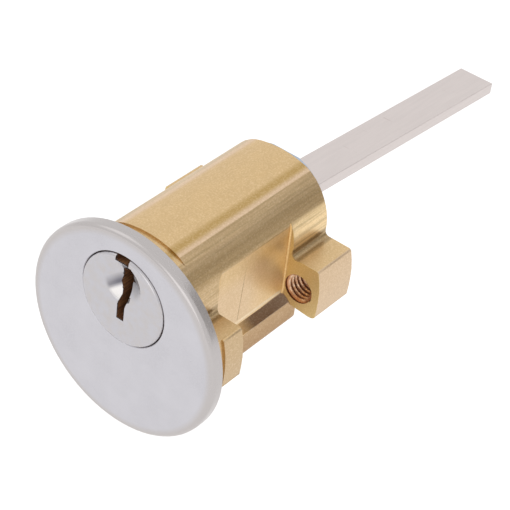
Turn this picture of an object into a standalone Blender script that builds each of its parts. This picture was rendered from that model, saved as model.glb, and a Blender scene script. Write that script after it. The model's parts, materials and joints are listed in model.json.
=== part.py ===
"""Rim cylinder: a pin-tumbler lock cylinder for a rim latch, with a round face and a flat tail bar.

Frame: +Z up. The origin is on the axis of the round face, in the plane of the face's back, which lies
on the door. The face looks along -Y, the body and the tail run along +Y. The plug lies above the face's
centre and the pin chambers lie under it. Lengths are metres, written as millimetres times MM.
"""

from math import acos, asin, atan2, cos, pi, radians, sin, sqrt

import bmesh
import bpy
from mathutils import Matrix, Vector

MM = 0.001

# Round face
FACE_RADIUS = 17.0 * MM
FACE_THICKNESS = 2.1 * MM
FACE_EDGE_ROUND = 0.8 * MM
FACE_BACK_CHAMFER = 0.1 * MM
FACE_RECESS_RADIUS = 14.9 * MM
FACE_RECESS_DEPTH = 0.1 * MM
FACE_HOLE_RADIUS = 7.53 * MM
FACE_HOLE_CHAMFER = 0.1 * MM
SPIGOT_RADIUS = 12.5 * MM
SPIGOT_HEIGHT = 1.0 * MM
SPIGOT_GAP = 0.04 * MM

# Body, milled from a round bar
BAR_RADIUS = 15.15 * MM
BODY_LENGTH = 32.0 * MM
NECK_RADIUS = 14.8 * MM
NECK_LENGTH = 2.7 * MM
NECK_FRONT = -0.06 * MM
HOUSING_RADIUS = 9.75 * MM
RIDGE_CHAMFER = 0.35 * MM
EAR_TOP = 4.6 * MM
EAR_BOTTOM = -4.15 * MM
EAR_BOTTOM_INNER = -3.85 * MM
EAR_FILLET = 0.8 * MM
EAR_TOP_ROUND = 0.5 * MM
EAR_BOTTOM_ROUND = 0.9 * MM
GROOVE_CENTRE_X = 7.4 * MM
GROOVE_CENTRE_Z = -5.85 * MM
GROOVE_RADIUS = 3.6 * MM
RAIL_X = 6.35 * MM
RAIL_ROUND = 1.2 * MM
POCKET_START = 6.6 * MM
POCKET_END = 24.0 * MM
POCKET_FLOOR = 8.8 * MM
POCKET_FRONT_ROUND = 2.0 * MM
POCKET_REAR_ROUND = 0.3 * MM
LUG_HOLE_X = 11.55 * MM
LUG_HOLE_Z = -0.25 * MM
LUG_HOLE_RADIUS = 2.4 * MM
LUG_HOLE_STEPS = 32

# Plug and its bore
PLUG_AXIS_Z = 6.1 * MM
PLUG_RADIUS = 6.45 * MM
BORE_RADIUS = 6.5 * MM
PLUG_END = 31.95 * MM
PLUG_END_CHAMFER = 0.2 * MM
FLANGE_RADIUS = 7.41 * MM
FLANGE_FRONT = -2.45 * MM
FLANGE_BACK = 1.5 * MM
FLANGE_EDGE_ROUND = 0.45 * MM
COUNTERBORE_DEPTH = 1.55 * MM
DISH_X = 0.0 * MM
DISH_Z = 9.2 * MM
DISH_RADIUS = 3.45 * MM
DISH_DEPTH = 0.8 * MM
RIM_NOTCH_X = -0.3 * MM
RIM_NOTCH_WIDTH = 2.4 * MM
RIM_NOTCH_DEPTH = 0.95 * MM
KEYWAY_END = 27.0 * MM
HEAD_POCKET_WIDTH = 9.8 * MM
HEAD_POCKET_HEIGHT = 3.4 * MM
HEAD_POCKET_START = 28.3 * MM

# Keyway section on the face, as (x, z) from the plug's axis in millimetres: a broached zigzag with two wards
KEYWAY_LEFT = ((-0.65, -3.35), (-0.65, -0.85), (-0.2, 0.95), (-0.35, 1.85), (-0.75, 2.8), (-0.3, 4.45))
KEYWAY_TOP = ((-0.15, 5.5), (1.4, 6.4))
KEYWAY_RIGHT = ((1.7, 5.0), (1.4, 3.7), (1.25, 1.8), (1.0, 0.1), (0.7, -1.0), (0.65, -3.35))

# Pin stacks
PIN_COUNT = 5
FIRST_PIN_Y = 4.6 * MM
PIN_PITCH = 4.0 * MM
PIN_RADIUS = 1.42 * MM
CHAMBER_RADIUS = 1.5 * MM
CHAMBER_TOP_Z = 9.6 * MM
KEY_PIN_LENGTHS = (4.9 * MM, 6.1 * MM, 4.4 * MM, 5.6 * MM, 5.2 * MM)
KEY_PIN_BASE_Z = PLUG_AXIS_Z - 6.4 * MM
KEY_PIN_CHAMFER = 0.5 * MM
KEY_PIN_FLAT_RADIUS = 0.82 * MM
KEY_PIN_TIP_HEIGHT = 1.1 * MM
KEY_PIN_TIP_RADIUS = 0.35 * MM
DRIVER_TOP_Z = PLUG_AXIS_Z - 6.62 * MM
DRIVER_LENGTH = 5.0 * MM
DRIVER_CHAMFER = 0.3 * MM
SPRING_RADIUS = 1.1 * MM
SPRING_WIRE_RADIUS = 0.18 * MM
SPRING_GAP = 0.05 * MM
SPRING_TURNS = 6
SPRING_POINTS_PER_TURN = 8

# Strip that closes the pin chambers
COVER_WIDTH = 5.0 * MM
COVER_THICKNESS = 0.8 * MM
COVER_START = 2.6 * MM
COVER_END = 22.6 * MM
COVER_SEAT_Z = -13.9 * MM
COVER_GAP = 0.04 * MM
COVER_EDGE_BEVEL = 0.12 * MM

# Retaining plate on the plug's rear, its screws and the tail bar
PLATE_RADIUS = 8.55 * MM
PLATE_FRONT = 32.05 * MM
PLATE_THICKNESS = 1.25 * MM
PLATE_EDGE_ROUND = 0.2 * MM
PLATE_FLAT_HEIGHT = 8.0 * MM
TAIL_SLOT_WIDTH = 7.5 * MM
TAIL_SLOT_HEIGHT = 3.2 * MM
SCREW_OFFSET = 4.25 * MM
SCREW_HEAD_RADIUS = 1.5 * MM
SCREW_HEAD_HEIGHT = 0.65 * MM
SCREW_HEAD_SINK = 0.02 * MM
SCREW_RADIUS = 0.85 * MM
SCREW_LENGTH = 4.5 * MM
SCREW_TIP_CHAMFER = 0.3 * MM
SCREW_HOLE_SPARE = 0.5 * MM
SCREW_GAP = 0.05 * MM
SCREW_SLOT_WIDTH = 0.45 * MM
SCREW_SLOT_DEPTH = 0.35 * MM
TAIL_WIDTH = 6.6 * MM
TAIL_THICKNESS = 1.94 * MM
TAIL_END = 85.95 * MM
TAIL_HEAD_WIDTH = 8.8 * MM
TAIL_HEAD_LENGTH = 1.8 * MM
TAIL_HEAD_X = -0.18 * MM
TAIL_HEAD_Y = 30.3 * MM
TAIL_HEAD_Z = 6.44 * MM
TAIL_EDGE_BEVEL = 0.15 * MM
TAIL_DROOP = radians(2.73)
TAIL_SWING = radians(1.52)
TAIL_TWIST = radians(-0.75)

ROUND_STEPS = 80
BORE_STEPS = 64
PIN_STEPS = 16
ARC_STEP = radians(6.0)
CUT_MARGIN = 1.0 * MM

PART_COLLECTION = "rim_cylinder"
CUTTER_COLLECTION = "cutters"


def clear_scene():
    for item in list(bpy.data.objects):
        bpy.data.objects.remove(item, do_unlink=True)


def make_collection(name):
    collection = bpy.data.collections.new(name)
    bpy.context.scene.collection.children.link(collection)
    return collection


def make_material(name, colour, roughness, metallic=1.0):
    material = bpy.data.materials.new(name)
    material.use_nodes = True
    shader = material.node_tree.nodes["Principled BSDF"]
    shader.inputs["Base Color"].default_value = (*colour, 1.0)
    shader.inputs["Roughness"].default_value = roughness
    shader.inputs["Metallic"].default_value = metallic
    material.diffuse_color = (*colour, 1.0)
    return material


def add_object(name, mesh, collection, material=None):
    item = bpy.data.objects.new(name, mesh)
    bpy.data.collections[collection].objects.link(item)
    if material:
        mesh.materials.append(material)
    return item


def add_cutter(name, mesh):
    cutter = add_object(name, mesh, CUTTER_COLLECTION)
    cutter.hide_render = True
    cutter.display_type = "WIRE"
    return cutter


def boolean(item, cutter, operation="DIFFERENCE"):
    modifier = item.modifiers.new(cutter.name, "BOOLEAN")
    modifier.operation = operation
    modifier.solver = "EXACT"
    modifier.object = cutter


def shade_round(item, angle=30.0):
    item.data.shade_smooth()
    item.data.set_sharp_from_angle(angle=radians(angle))


def arc(centre_x, centre_z, radius, start, end):
    """Points of an arc in the XZ plane from one angle to another, both in radians, ends included."""
    steps = max(2, round(abs(end - start) / ARC_STEP))
    angles = [start + (end - start) * i / steps for i in range(steps + 1)]
    return [(centre_x + radius * cos(a), centre_z + radius * sin(a)) for a in angles]


def outline_mesh(name, outline, thickness):
    """A flat outline in XY, filled and extruded to a thickness centred on Z=0, as a closed mesh."""
    curve = bpy.data.curves.new(name, "CURVE")
    curve.dimensions = "2D"
    curve.fill_mode = "BOTH"
    curve.extrude = thickness / 2
    spline = curve.splines.new("POLY")
    spline.points.add(len(outline) - 1)
    for point, (x, y) in zip(spline.points, outline):
        point.co = (x, y, 0.0, 1.0)
    spline.use_cyclic_u = True
    return curve_mesh(name, curve)


def curve_mesh(name, curve):
    """A curve's own surface as a mesh whose loose caps are welded on."""
    holder = bpy.data.objects.new(name, curve)
    bpy.context.scene.collection.objects.link(holder)
    evaluated = holder.evaluated_get(bpy.context.evaluated_depsgraph_get())
    mesh = bpy.data.meshes.new_from_object(evaluated)
    bpy.data.objects.remove(holder, do_unlink=True)
    cage = bmesh.new()
    cage.from_mesh(mesh)
    bmesh.ops.remove_doubles(cage, verts=cage.verts, dist=0.001 * MM)
    bmesh.ops.recalc_face_normals(cage, faces=cage.faces)
    cage.to_mesh(mesh)
    cage.free()
    return mesh


def along_y(outline, start, end, name):
    """A section drawn in XZ, extruded along Y from start to end."""
    mesh = outline_mesh(name, outline, end - start)
    turn = Matrix.Rotation(radians(90), 4, "X")
    mesh.transform(Matrix.Translation((0, (start + end) / 2, 0)) @ turn)
    return mesh


def cylinder_mesh(name, radius, start, end, steps=BORE_STEPS, centre=(0.0, 0.0), axis="Y"):
    """A closed cylinder along Y (centre is x, z) or along Z (centre is x, y)."""
    cage = bmesh.new()
    bmesh.ops.create_cone(
        cage, cap_ends=True, segments=steps, radius1=radius, radius2=radius, depth=end - start
    )
    mesh = bpy.data.meshes.new(name)
    cage.to_mesh(mesh)
    cage.free()
    middle = (start + end) / 2
    if axis == "Y":
        mesh.transform(Matrix.Rotation(radians(90), 4, "X"))
        mesh.transform(Matrix.Translation((centre[0], middle, centre[1])))
    else:
        mesh.transform(Matrix.Translation((centre[0], centre[1], middle)))
    return mesh


def box_mesh(name, low, high):
    cage = bmesh.new()
    bmesh.ops.create_cube(cage, size=1.0)
    size = Vector(high) - Vector(low)
    middle = (Vector(high) + Vector(low)) / 2
    bmesh.ops.scale(cage, vec=size, verts=cage.verts)
    bmesh.ops.translate(cage, vec=middle, verts=cage.verts)
    mesh = bpy.data.meshes.new(name)
    cage.to_mesh(mesh)
    cage.free()
    return mesh


def turned(name, profile, steps, collection=PART_COLLECTION, material=None):
    """A profile of (radius, height) from the top of the axis, down the outer side, turned about local Z."""
    mesh = bpy.data.meshes.new(name)
    points = [(radius, 0.0, height) for radius, height in profile]
    mesh.from_pydata(points, [(i, i + 1) for i in range(len(points) - 1)], [])
    item = add_object(name, mesh, collection, material)
    screw = item.modifiers.new("turn", "SCREW")
    screw.steps = steps
    screw.render_steps = steps
    screw.use_merge_vertices = True
    screw.merge_threshold = 0.001 * MM
    screw.use_smooth_shade = True
    return item


def quarter_round(radius, height, edge, steps, top=True):
    """Profile points of a rounded outer corner, going down the outside."""
    start = pi / 2 if top else 0.0
    angles = [start - pi / 2 * i / steps for i in range(steps + 1)]
    middle = height - edge if top else height + edge
    return [(radius - edge + edge * cos(a), middle + edge * sin(a)) for a in angles]


def body_half_section():
    """Right half of the body's section, from the top of the bar round to its bottom, as (x, z)."""
    plug_z = PLUG_AXIS_Z
    ridge_z = (BAR_RADIUS**2 - HOUSING_RADIUS**2 + plug_z**2) / (2 * plug_z)
    ridge_on_bar = asin(ridge_z / BAR_RADIUS)
    ridge_on_housing = asin((ridge_z - plug_z) / HOUSING_RADIUS)
    points = arc(0, 0, BAR_RADIUS, pi / 2, ridge_on_bar + RIDGE_CHAMFER / BAR_RADIUS)

    fillet_z = EAR_TOP + EAR_FILLET
    fillet_x = sqrt((HOUSING_RADIUS + EAR_FILLET) ** 2 - (fillet_z - plug_z) ** 2)
    housing_end = atan2(fillet_z - plug_z, fillet_x)
    points += arc(0, plug_z, HOUSING_RADIUS, ridge_on_housing - RIDGE_CHAMFER / HOUSING_RADIUS, housing_end)
    points += arc(fillet_x, fillet_z, EAR_FILLET, pi + housing_end, 1.5 * pi)[1:]

    top_z = EAR_TOP - EAR_TOP_ROUND
    top_x = sqrt((BAR_RADIUS - EAR_TOP_ROUND) ** 2 - top_z**2)
    ear_start = atan2(top_z, top_x)
    points += arc(top_x, top_z, EAR_TOP_ROUND, pi / 2, ear_start)

    low_z = EAR_BOTTOM + EAR_BOTTOM_ROUND
    low_x = sqrt((BAR_RADIUS - EAR_BOTTOM_ROUND) ** 2 - low_z**2)
    ear_end = atan2(low_z, low_x)
    points += arc(0, 0, BAR_RADIUS, ear_start, ear_end)[1:]
    points += arc(low_x, low_z, EAR_BOTTOM_ROUND, ear_end, -pi / 2)[1:]

    groove_start = asin((EAR_BOTTOM_INNER - GROOVE_CENTRE_Z) / GROOVE_RADIUS)
    groove_end = 2 * pi - acos((RAIL_X - GROOVE_CENTRE_X) / GROOVE_RADIUS)
    points += arc(GROOVE_CENTRE_X, GROOVE_CENTRE_Z, GROOVE_RADIUS, groove_start, groove_end)

    rail_x = RAIL_X - RAIL_ROUND
    rail_z = -sqrt((BAR_RADIUS - RAIL_ROUND) ** 2 - rail_x**2)
    rail_end = atan2(rail_z, rail_x)
    points += arc(rail_x, rail_z, RAIL_ROUND, 0.0, rail_end)
    points += arc(0, 0, BAR_RADIUS, rail_end, -pi / 2)[1:]
    return points


def body_section():
    right = body_half_section()
    left = [(-x, z) for x, z in reversed(right[1:-1])]
    return right + left


def pocket_cutter(side):
    """The side pocket between front ear and rear lug: a flat floor with rounded ends."""
    reach = BAR_RADIUS + CUT_MARGIN
    front_round = POCKET_FRONT_ROUND
    front = arc(POCKET_FLOOR + front_round, POCKET_START + front_round, front_round, 1.5 * pi, pi)
    rear_round = POCKET_REAR_ROUND
    rear = arc(POCKET_FLOOR + rear_round, POCKET_END - rear_round, rear_round, pi, pi / 2)
    outline = [(reach, POCKET_START)] + front + rear + [(reach, POCKET_END)]
    if side < 0:
        outline = [(-x, y) for x, y in outline]
    low = EAR_BOTTOM - CUT_MARGIN
    high = 2 * EAR_TOP + CUT_MARGIN
    mesh = outline_mesh("pocket", outline, high - low)
    mesh.transform(Matrix.Translation((0, 0, (low + high) / 2)))
    return mesh


def neck_cutter():
    """A ring round the bar behind the face."""
    inner = NECK_RADIUS
    outer = BAR_RADIUS + CUT_MARGIN
    profile = [(outer, NECK_LENGTH), (outer, -CUT_MARGIN), (inner, -CUT_MARGIN), (inner, NECK_LENGTH)]
    profile.append(profile[0])
    ring = turned("neck_cut", profile, ROUND_STEPS, CUTTER_COLLECTION)
    ring.rotation_euler = (radians(-90), 0, 0)
    ring.hide_render = True
    ring.display_type = "WIRE"
    return ring


def pin_positions():
    return [FIRST_PIN_Y + i * PIN_PITCH for i in range(PIN_COUNT)]


def build_body(brass):
    section = along_y(body_section(), NECK_FRONT, BODY_LENGTH, "cylinder_body")
    body = add_object("cylinder_body", section, PART_COLLECTION, brass)
    spigot = cylinder_mesh("spigot", SPIGOT_RADIUS, -SPIGOT_HEIGHT, CUT_MARGIN, ROUND_STEPS)
    boolean(body, add_cutter("neck_spigot_join", spigot), "UNION")
    boolean(body, neck_cutter())
    for side, word in ((1, "right"), (-1, "left")):
        boolean(body, add_cutter(f"{word}_pocket_cut", pocket_cutter(side)))
        centre = (side * LUG_HOLE_X, LUG_HOLE_Z)
        start = POCKET_END - CUT_MARGIN
        end = BODY_LENGTH + CUT_MARGIN
        hole = cylinder_mesh("hole", LUG_HOLE_RADIUS, start, end, LUG_HOLE_STEPS, centre)
        boolean(body, add_cutter(f"{word}_lug_hole_cut", hole))
    plug_centre = (0.0, PLUG_AXIS_Z)
    front = -2 * CUT_MARGIN
    bore = cylinder_mesh("bore", BORE_RADIUS, front, BODY_LENGTH + CUT_MARGIN, BORE_STEPS, plug_centre)
    boolean(body, add_cutter("bore_cut", bore))
    seat = cylinder_mesh("seat", FACE_HOLE_RADIUS, front, COUNTERBORE_DEPTH, BORE_STEPS, plug_centre)
    boolean(body, add_cutter("seat_cut", seat))
    for i, y in enumerate(pin_positions(), 1):
        low = -BAR_RADIUS - CUT_MARGIN
        chamber = cylinder_mesh("chamber", CHAMBER_RADIUS, low, PLUG_AXIS_Z, PIN_STEPS, (0.0, y), "Z")
        boolean(body, add_cutter(f"body_chamber_cut_{i}", chamber))
    half = COVER_WIDTH / 2
    groove = box_mesh(
        "groove", (-half, COVER_START, -BAR_RADIUS - CUT_MARGIN), (half, COVER_END, COVER_SEAT_Z)
    )
    boolean(body, add_cutter("cover_groove_cut", groove))
    return body


def build_face(satin):
    """The round face: a turned disc with a rounded front edge, recessed behind for the neck and spigot."""
    top = 0.0
    bottom = -FACE_THICKNESS
    edge = FACE_EDGE_ROUND
    recess_radius = FACE_RECESS_RADIUS
    profile = [(0.0, top - FACE_RECESS_DEPTH), (recess_radius, top - FACE_RECESS_DEPTH)]
    profile += [(recess_radius, top)]
    profile += [(FACE_RADIUS - FACE_BACK_CHAMFER, top), (FACE_RADIUS, top - FACE_BACK_CHAMFER)]
    profile += quarter_round(FACE_RADIUS, bottom, edge, 4, top=False) + [(0.0, bottom)]
    face = turned("face_disc", profile, ROUND_STEPS, material=satin)
    face.rotation_euler = (radians(-90), 0, 0)
    gap = SPIGOT_GAP
    recess = cylinder_mesh("recess", SPIGOT_RADIUS + gap, -SPIGOT_HEIGHT - gap, CUT_MARGIN, ROUND_STEPS)
    boolean(face, add_cutter("face_recess_cut", recess))
    hole_profile = [
        (0.0, CUT_MARGIN),
        (FACE_HOLE_RADIUS, CUT_MARGIN),
        (FACE_HOLE_RADIUS, bottom + FACE_HOLE_CHAMFER),
        (FACE_HOLE_RADIUS + FACE_HOLE_CHAMFER + CUT_MARGIN, bottom - CUT_MARGIN),
        (0.0, bottom - CUT_MARGIN),
    ]
    hole = turned("face_hole_cut", hole_profile, BORE_STEPS, CUTTER_COLLECTION)
    hole.rotation_euler = (radians(-90), 0, 0)
    hole.location = (0, 0, PLUG_AXIS_Z)
    hole.hide_render = True
    hole.display_type = "WIRE"
    boolean(face, hole)
    return face


def build_cover(brass):
    half = COVER_WIDTH / 2 - COVER_GAP
    low = (-half, COVER_START + COVER_GAP, COVER_SEAT_Z - COVER_GAP - COVER_THICKNESS)
    high = (half, COVER_END - COVER_GAP, COVER_SEAT_Z - COVER_GAP)
    cover = add_object("chamber_cover", box_mesh("chamber_cover", low, high), PART_COLLECTION, brass)
    bevel = cover.modifiers.new("edges", "BEVEL")
    bevel.width = COVER_EDGE_BEVEL
    bevel.segments = 1
    return cover


def keyway_cutter():
    section = KEYWAY_LEFT + KEYWAY_TOP + KEYWAY_RIGHT
    outline = [(x * MM, PLUG_AXIS_Z + z * MM) for x, z in section]
    return along_y(outline, FLANGE_FRONT - CUT_MARGIN, KEYWAY_END, "keyway")


def dish_cutter():
    """A ball that leaves the shallow round dish about the keyway's mouth."""
    ball_radius = (DISH_RADIUS**2 + DISH_DEPTH**2) / (2 * DISH_DEPTH)
    cage = bmesh.new()
    bmesh.ops.create_uvsphere(cage, u_segments=40, v_segments=30, radius=ball_radius)
    mesh = bpy.data.meshes.new("dish")
    cage.to_mesh(mesh)
    cage.free()
    centre_y = FLANGE_FRONT - (ball_radius - DISH_DEPTH)
    mesh.transform(Matrix.Rotation(radians(90), 4, "X"))
    mesh.transform(Matrix.Translation((DISH_X, centre_y, DISH_Z)))
    return mesh


def build_plug(satin):
    """The plug turns on its own axis: its origin is on that axis at the face's back plane."""
    profile = [(0.0, PLUG_END)]
    profile += [(PLUG_RADIUS - PLUG_END_CHAMFER, PLUG_END), (PLUG_RADIUS, PLUG_END - PLUG_END_CHAMFER)]
    profile += [(PLUG_RADIUS, FLANGE_BACK), (FLANGE_RADIUS, FLANGE_BACK)]
    profile += quarter_round(FLANGE_RADIUS, FLANGE_FRONT, FLANGE_EDGE_ROUND, 3, top=False)
    profile += [(0.0, FLANGE_FRONT)]
    plug = turned("plug", profile, BORE_STEPS, material=satin)
    plug.rotation_euler = (radians(-90), 0, 0)
    plug.location = (0, 0, PLUG_AXIS_Z)
    boolean(plug, add_cutter("dish_cut", dish_cutter()))
    boolean(plug, add_cutter("keyway_cut", keyway_cutter()))
    for i, y in enumerate(pin_positions(), 1):
        low = PLUG_AXIS_Z - BORE_RADIUS - CUT_MARGIN
        chamber = cylinder_mesh("chamber", CHAMBER_RADIUS, low, CHAMBER_TOP_Z, PIN_STEPS, (0.0, y), "Z")
        boolean(plug, add_cutter(f"plug_chamber_cut_{i}", chamber))
    half_notch = RIM_NOTCH_WIDTH / 2
    rim_z = PLUG_AXIS_Z + FLANGE_RADIUS
    notch_low = (RIM_NOTCH_X - half_notch, FLANGE_FRONT - CUT_MARGIN, rim_z - RIM_NOTCH_DEPTH)
    notch_high = (RIM_NOTCH_X + half_notch, FLANGE_BACK + CUT_MARGIN, rim_z + CUT_MARGIN)
    boolean(plug, add_cutter("rim_notch_cut", box_mesh("rim_notch", notch_low, notch_high)))
    half_width = HEAD_POCKET_WIDTH / 2
    half_height = HEAD_POCKET_HEIGHT / 2
    pocket_low = (-half_width, HEAD_POCKET_START, PLUG_AXIS_Z - half_height)
    pocket_high = (half_width, PLUG_END + CUT_MARGIN, PLUG_AXIS_Z + half_height)
    boolean(plug, add_cutter("tail_head_cut", box_mesh("tail_head", pocket_low, pocket_high)))
    for side, word in ((1, "upper"), (-1, "lower")):
        centre = (0.0, PLUG_AXIS_Z + side * SCREW_OFFSET)
        start = PLATE_FRONT + PLATE_THICKNESS - SCREW_LENGTH - SCREW_HOLE_SPARE
        radius = SCREW_RADIUS + SCREW_GAP
        hole = cylinder_mesh("hole", radius, start, PLUG_END + CUT_MARGIN, PIN_STEPS, centre)
        boolean(plug, add_cutter(f"plug_{word}_screw_cut", hole))
    return plug


def build_plate(steel):
    """The round plate on the plug's rear: a flat on top, a slot for the tail and two countersunk holes."""
    back = PLATE_FRONT + PLATE_THICKNESS
    edge = PLATE_EDGE_ROUND
    profile = [(0.0, back)] + quarter_round(PLATE_RADIUS, back, edge, 1)
    profile += quarter_round(PLATE_RADIUS, PLATE_FRONT, edge, 1, top=False) + [(0.0, PLATE_FRONT)]
    plate = turned("retaining_plate", profile, BORE_STEPS, material=steel)
    plate.rotation_euler = (radians(-90), 0, 0)
    plate.location = (0, 0, PLUG_AXIS_Z)
    half_width = TAIL_SLOT_WIDTH / 2
    half_height = TAIL_SLOT_HEIGHT / 2
    low = (-half_width, PLATE_FRONT - CUT_MARGIN, PLUG_AXIS_Z - half_height)
    high = (half_width, back + CUT_MARGIN, PLUG_AXIS_Z + half_height)
    boolean(plate, add_cutter("tail_slot_cut", box_mesh("tail_slot", low, high)))
    flat_z = PLUG_AXIS_Z + PLATE_FLAT_HEIGHT
    low = (-PLATE_RADIUS, PLATE_FRONT - CUT_MARGIN, flat_z)
    high = (PLATE_RADIUS, back + CUT_MARGIN, flat_z + PLATE_RADIUS)
    boolean(plate, add_cutter("plate_flat_cut", box_mesh("plate_flat", low, high)))
    for side, word in ((1, "upper"), (-1, "lower")):
        slope = (SCREW_HEAD_RADIUS - SCREW_RADIUS) / SCREW_HEAD_HEIGHT
        flare = SCREW_HEAD_RADIUS + SCREW_GAP + slope * CUT_MARGIN
        sink = [
            (0.0, back + CUT_MARGIN),
            (flare, back + CUT_MARGIN),
            (SCREW_RADIUS + SCREW_GAP, back - SCREW_HEAD_HEIGHT),
            (SCREW_RADIUS + SCREW_GAP, PLATE_FRONT - CUT_MARGIN),
            (0.0, PLATE_FRONT - CUT_MARGIN),
        ]
        cutter = turned(f"plate_{word}_screw_cut", sink, PIN_STEPS, CUTTER_COLLECTION)
        cutter.rotation_euler = (radians(-90), 0, 0)
        cutter.location = (0, 0, PLUG_AXIS_Z + side * SCREW_OFFSET)
        cutter.hide_render = True
        cutter.display_type = "WIRE"
        boolean(plate, cutter)
    return plate


def build_plate_screw(word, side, steel):
    """A small slotted countersunk screw, its head just under the plate's rear."""
    back = PLATE_FRONT + PLATE_THICKNESS - SCREW_HEAD_SINK
    tip = back - SCREW_LENGTH
    profile = [
        (0.0, back),
        (SCREW_HEAD_RADIUS, back),
        (SCREW_RADIUS, back - SCREW_HEAD_HEIGHT),
        (SCREW_RADIUS, tip + SCREW_TIP_CHAMFER),
        (SCREW_RADIUS - SCREW_TIP_CHAMFER, tip),
        (0.0, tip),
    ]
    name = f"plate_screw_{word}"
    screw = turned(name, profile, PIN_STEPS, material=steel)
    screw.rotation_euler = (radians(-90), 0, 0)
    screw.location = (0, 0, PLUG_AXIS_Z + side * SCREW_OFFSET)
    half = SCREW_SLOT_WIDTH / 2
    middle = PLUG_AXIS_Z + side * SCREW_OFFSET
    low = (-2 * SCREW_HEAD_RADIUS, back - SCREW_SLOT_DEPTH, middle - half)
    high = (2 * SCREW_HEAD_RADIUS, back + CUT_MARGIN, middle + half)
    boolean(screw, add_cutter(f"{name}_slot_cut", box_mesh("slot", low, high)))
    return screw


def build_tail(steel):
    """The flat tail bar: a T head held loosely behind the plate, so the bar leans as the photo shows."""
    half = TAIL_WIDTH / 2
    head = TAIL_HEAD_WIDTH / 2
    end = TAIL_END - TAIL_HEAD_Y
    neck = TAIL_HEAD_LENGTH / 2
    outline = [(-half, end), (half, end), (half, neck), (head, neck), (head, -neck)]
    outline += [(-head, -neck), (-head, neck), (-half, neck)]
    tail = add_object(
        "tail_bar", outline_mesh("tail_bar", outline, TAIL_THICKNESS), PART_COLLECTION, steel
    )
    weld = tail.modifiers.new("caps", "WELD")
    weld.merge_threshold = 0.001 * MM
    bevel = tail.modifiers.new("edges", "BEVEL")
    bevel.width = TAIL_EDGE_BEVEL
    bevel.segments = 1
    lean = Matrix.Rotation(-TAIL_DROOP, 4, "X") @ Matrix.Rotation(-TAIL_SWING, 4, "Z")
    twist = Matrix.Rotation(TAIL_TWIST, 4, "Y")
    tail.matrix_world = Matrix.Translation((TAIL_HEAD_X, TAIL_HEAD_Y, TAIL_HEAD_Z)) @ lean @ twist
    return tail


def build_key_pin(number, y, brass):
    """A brass pin with a cone at the top, where the key lifts it, and a chamfered flat at the shear line."""
    length = KEY_PIN_LENGTHS[number - 1]
    profile = [
        (0.0, length),
        (KEY_PIN_TIP_RADIUS, length),
        (PIN_RADIUS, length - KEY_PIN_TIP_HEIGHT),
        (PIN_RADIUS, KEY_PIN_CHAMFER),
        (KEY_PIN_FLAT_RADIUS, 0.0),
        (0.0, 0.0),
    ]
    pin = turned(f"key_pin_{number}", profile, PIN_STEPS, material=brass)
    pin.location = (0, y, KEY_PIN_BASE_Z)
    return pin


def build_driver_pin(number, y, steel):
    flat = PIN_RADIUS - DRIVER_CHAMFER
    profile = [
        (0.0, 0.0),
        (flat, 0.0),
        (PIN_RADIUS, -DRIVER_CHAMFER),
        (PIN_RADIUS, DRIVER_CHAMFER - DRIVER_LENGTH),
        (flat, -DRIVER_LENGTH),
        (0.0, -DRIVER_LENGTH),
    ]
    pin = turned(f"driver_pin_{number}", profile, PIN_STEPS, material=steel)
    pin.location = (0, y, DRIVER_TOP_Z)
    return pin


def build_spring(number, y, steel):
    """A coil spring between the chamber's cover and the driver pin."""
    low = COVER_SEAT_Z + SPRING_WIRE_RADIUS + SPRING_GAP
    high = DRIVER_TOP_Z - DRIVER_LENGTH - SPRING_WIRE_RADIUS - SPRING_GAP
    count = SPRING_TURNS * SPRING_POINTS_PER_TURN
    curve = bpy.data.curves.new(f"spring_{number}", "CURVE")
    curve.dimensions = "3D"
    curve.bevel_depth = SPRING_WIRE_RADIUS
    curve.bevel_resolution = 2
    curve.use_fill_caps = True
    spline = curve.splines.new("POLY")
    spline.points.add(count)
    for i, point in enumerate(spline.points):
        turn = 2 * pi * i / SPRING_POINTS_PER_TURN
        height = low + (high - low) * i / count
        point.co = (SPRING_RADIUS * cos(turn), y + SPRING_RADIUS * sin(turn), height, 1.0)
    mesh = curve_mesh(f"spring_{number}", curve)
    return add_object(f"spring_{number}", mesh, PART_COLLECTION, steel)


def main():
    clear_scene()
    make_collection(PART_COLLECTION)
    make_collection(CUTTER_COLLECTION)
    brass = make_material("machined_brass", (0.66, 0.47, 0.22), 0.32)
    pin_brass = make_material("pin_brass", (0.70, 0.51, 0.25), 0.25)
    satin = make_material("satin_chrome", (0.61, 0.60, 0.63), 0.34)
    plate_steel = make_material("zinc_plated_steel", (0.52, 0.56, 0.62), 0.35)
    tail_steel = make_material("tail_steel", (0.68, 0.62, 0.60), 0.4)
    spring_steel = make_material("spring_steel", (0.45, 0.45, 0.46), 0.3)

    build_body(brass)
    build_face(satin)
    build_cover(brass)
    build_plug(satin)
    build_plate(plate_steel)
    build_plate_screw("upper", 1, plate_steel)
    build_plate_screw("lower", -1, plate_steel)
    build_tail(tail_steel)
    for number, y in enumerate(pin_positions(), 1):
        build_key_pin(number, y, pin_brass)
        build_driver_pin(number, y, plate_steel)
        build_spring(number, y, spring_steel)
    for item in bpy.data.collections[PART_COLLECTION].objects:
        shade_round(item)


main()
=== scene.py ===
"""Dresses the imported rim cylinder: milled brass body, satin face, keyed plug, zinc plate and steel tail bar.

The frame is the CAD's, in metres: +Z up, the face looks along -Y, the tail runs along +Y.
Numbers that place an area of a surface are in millimetres.
"""

import json
from math import cos, radians, sin

import bpy
from mathutils import Matrix, Vector

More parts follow.
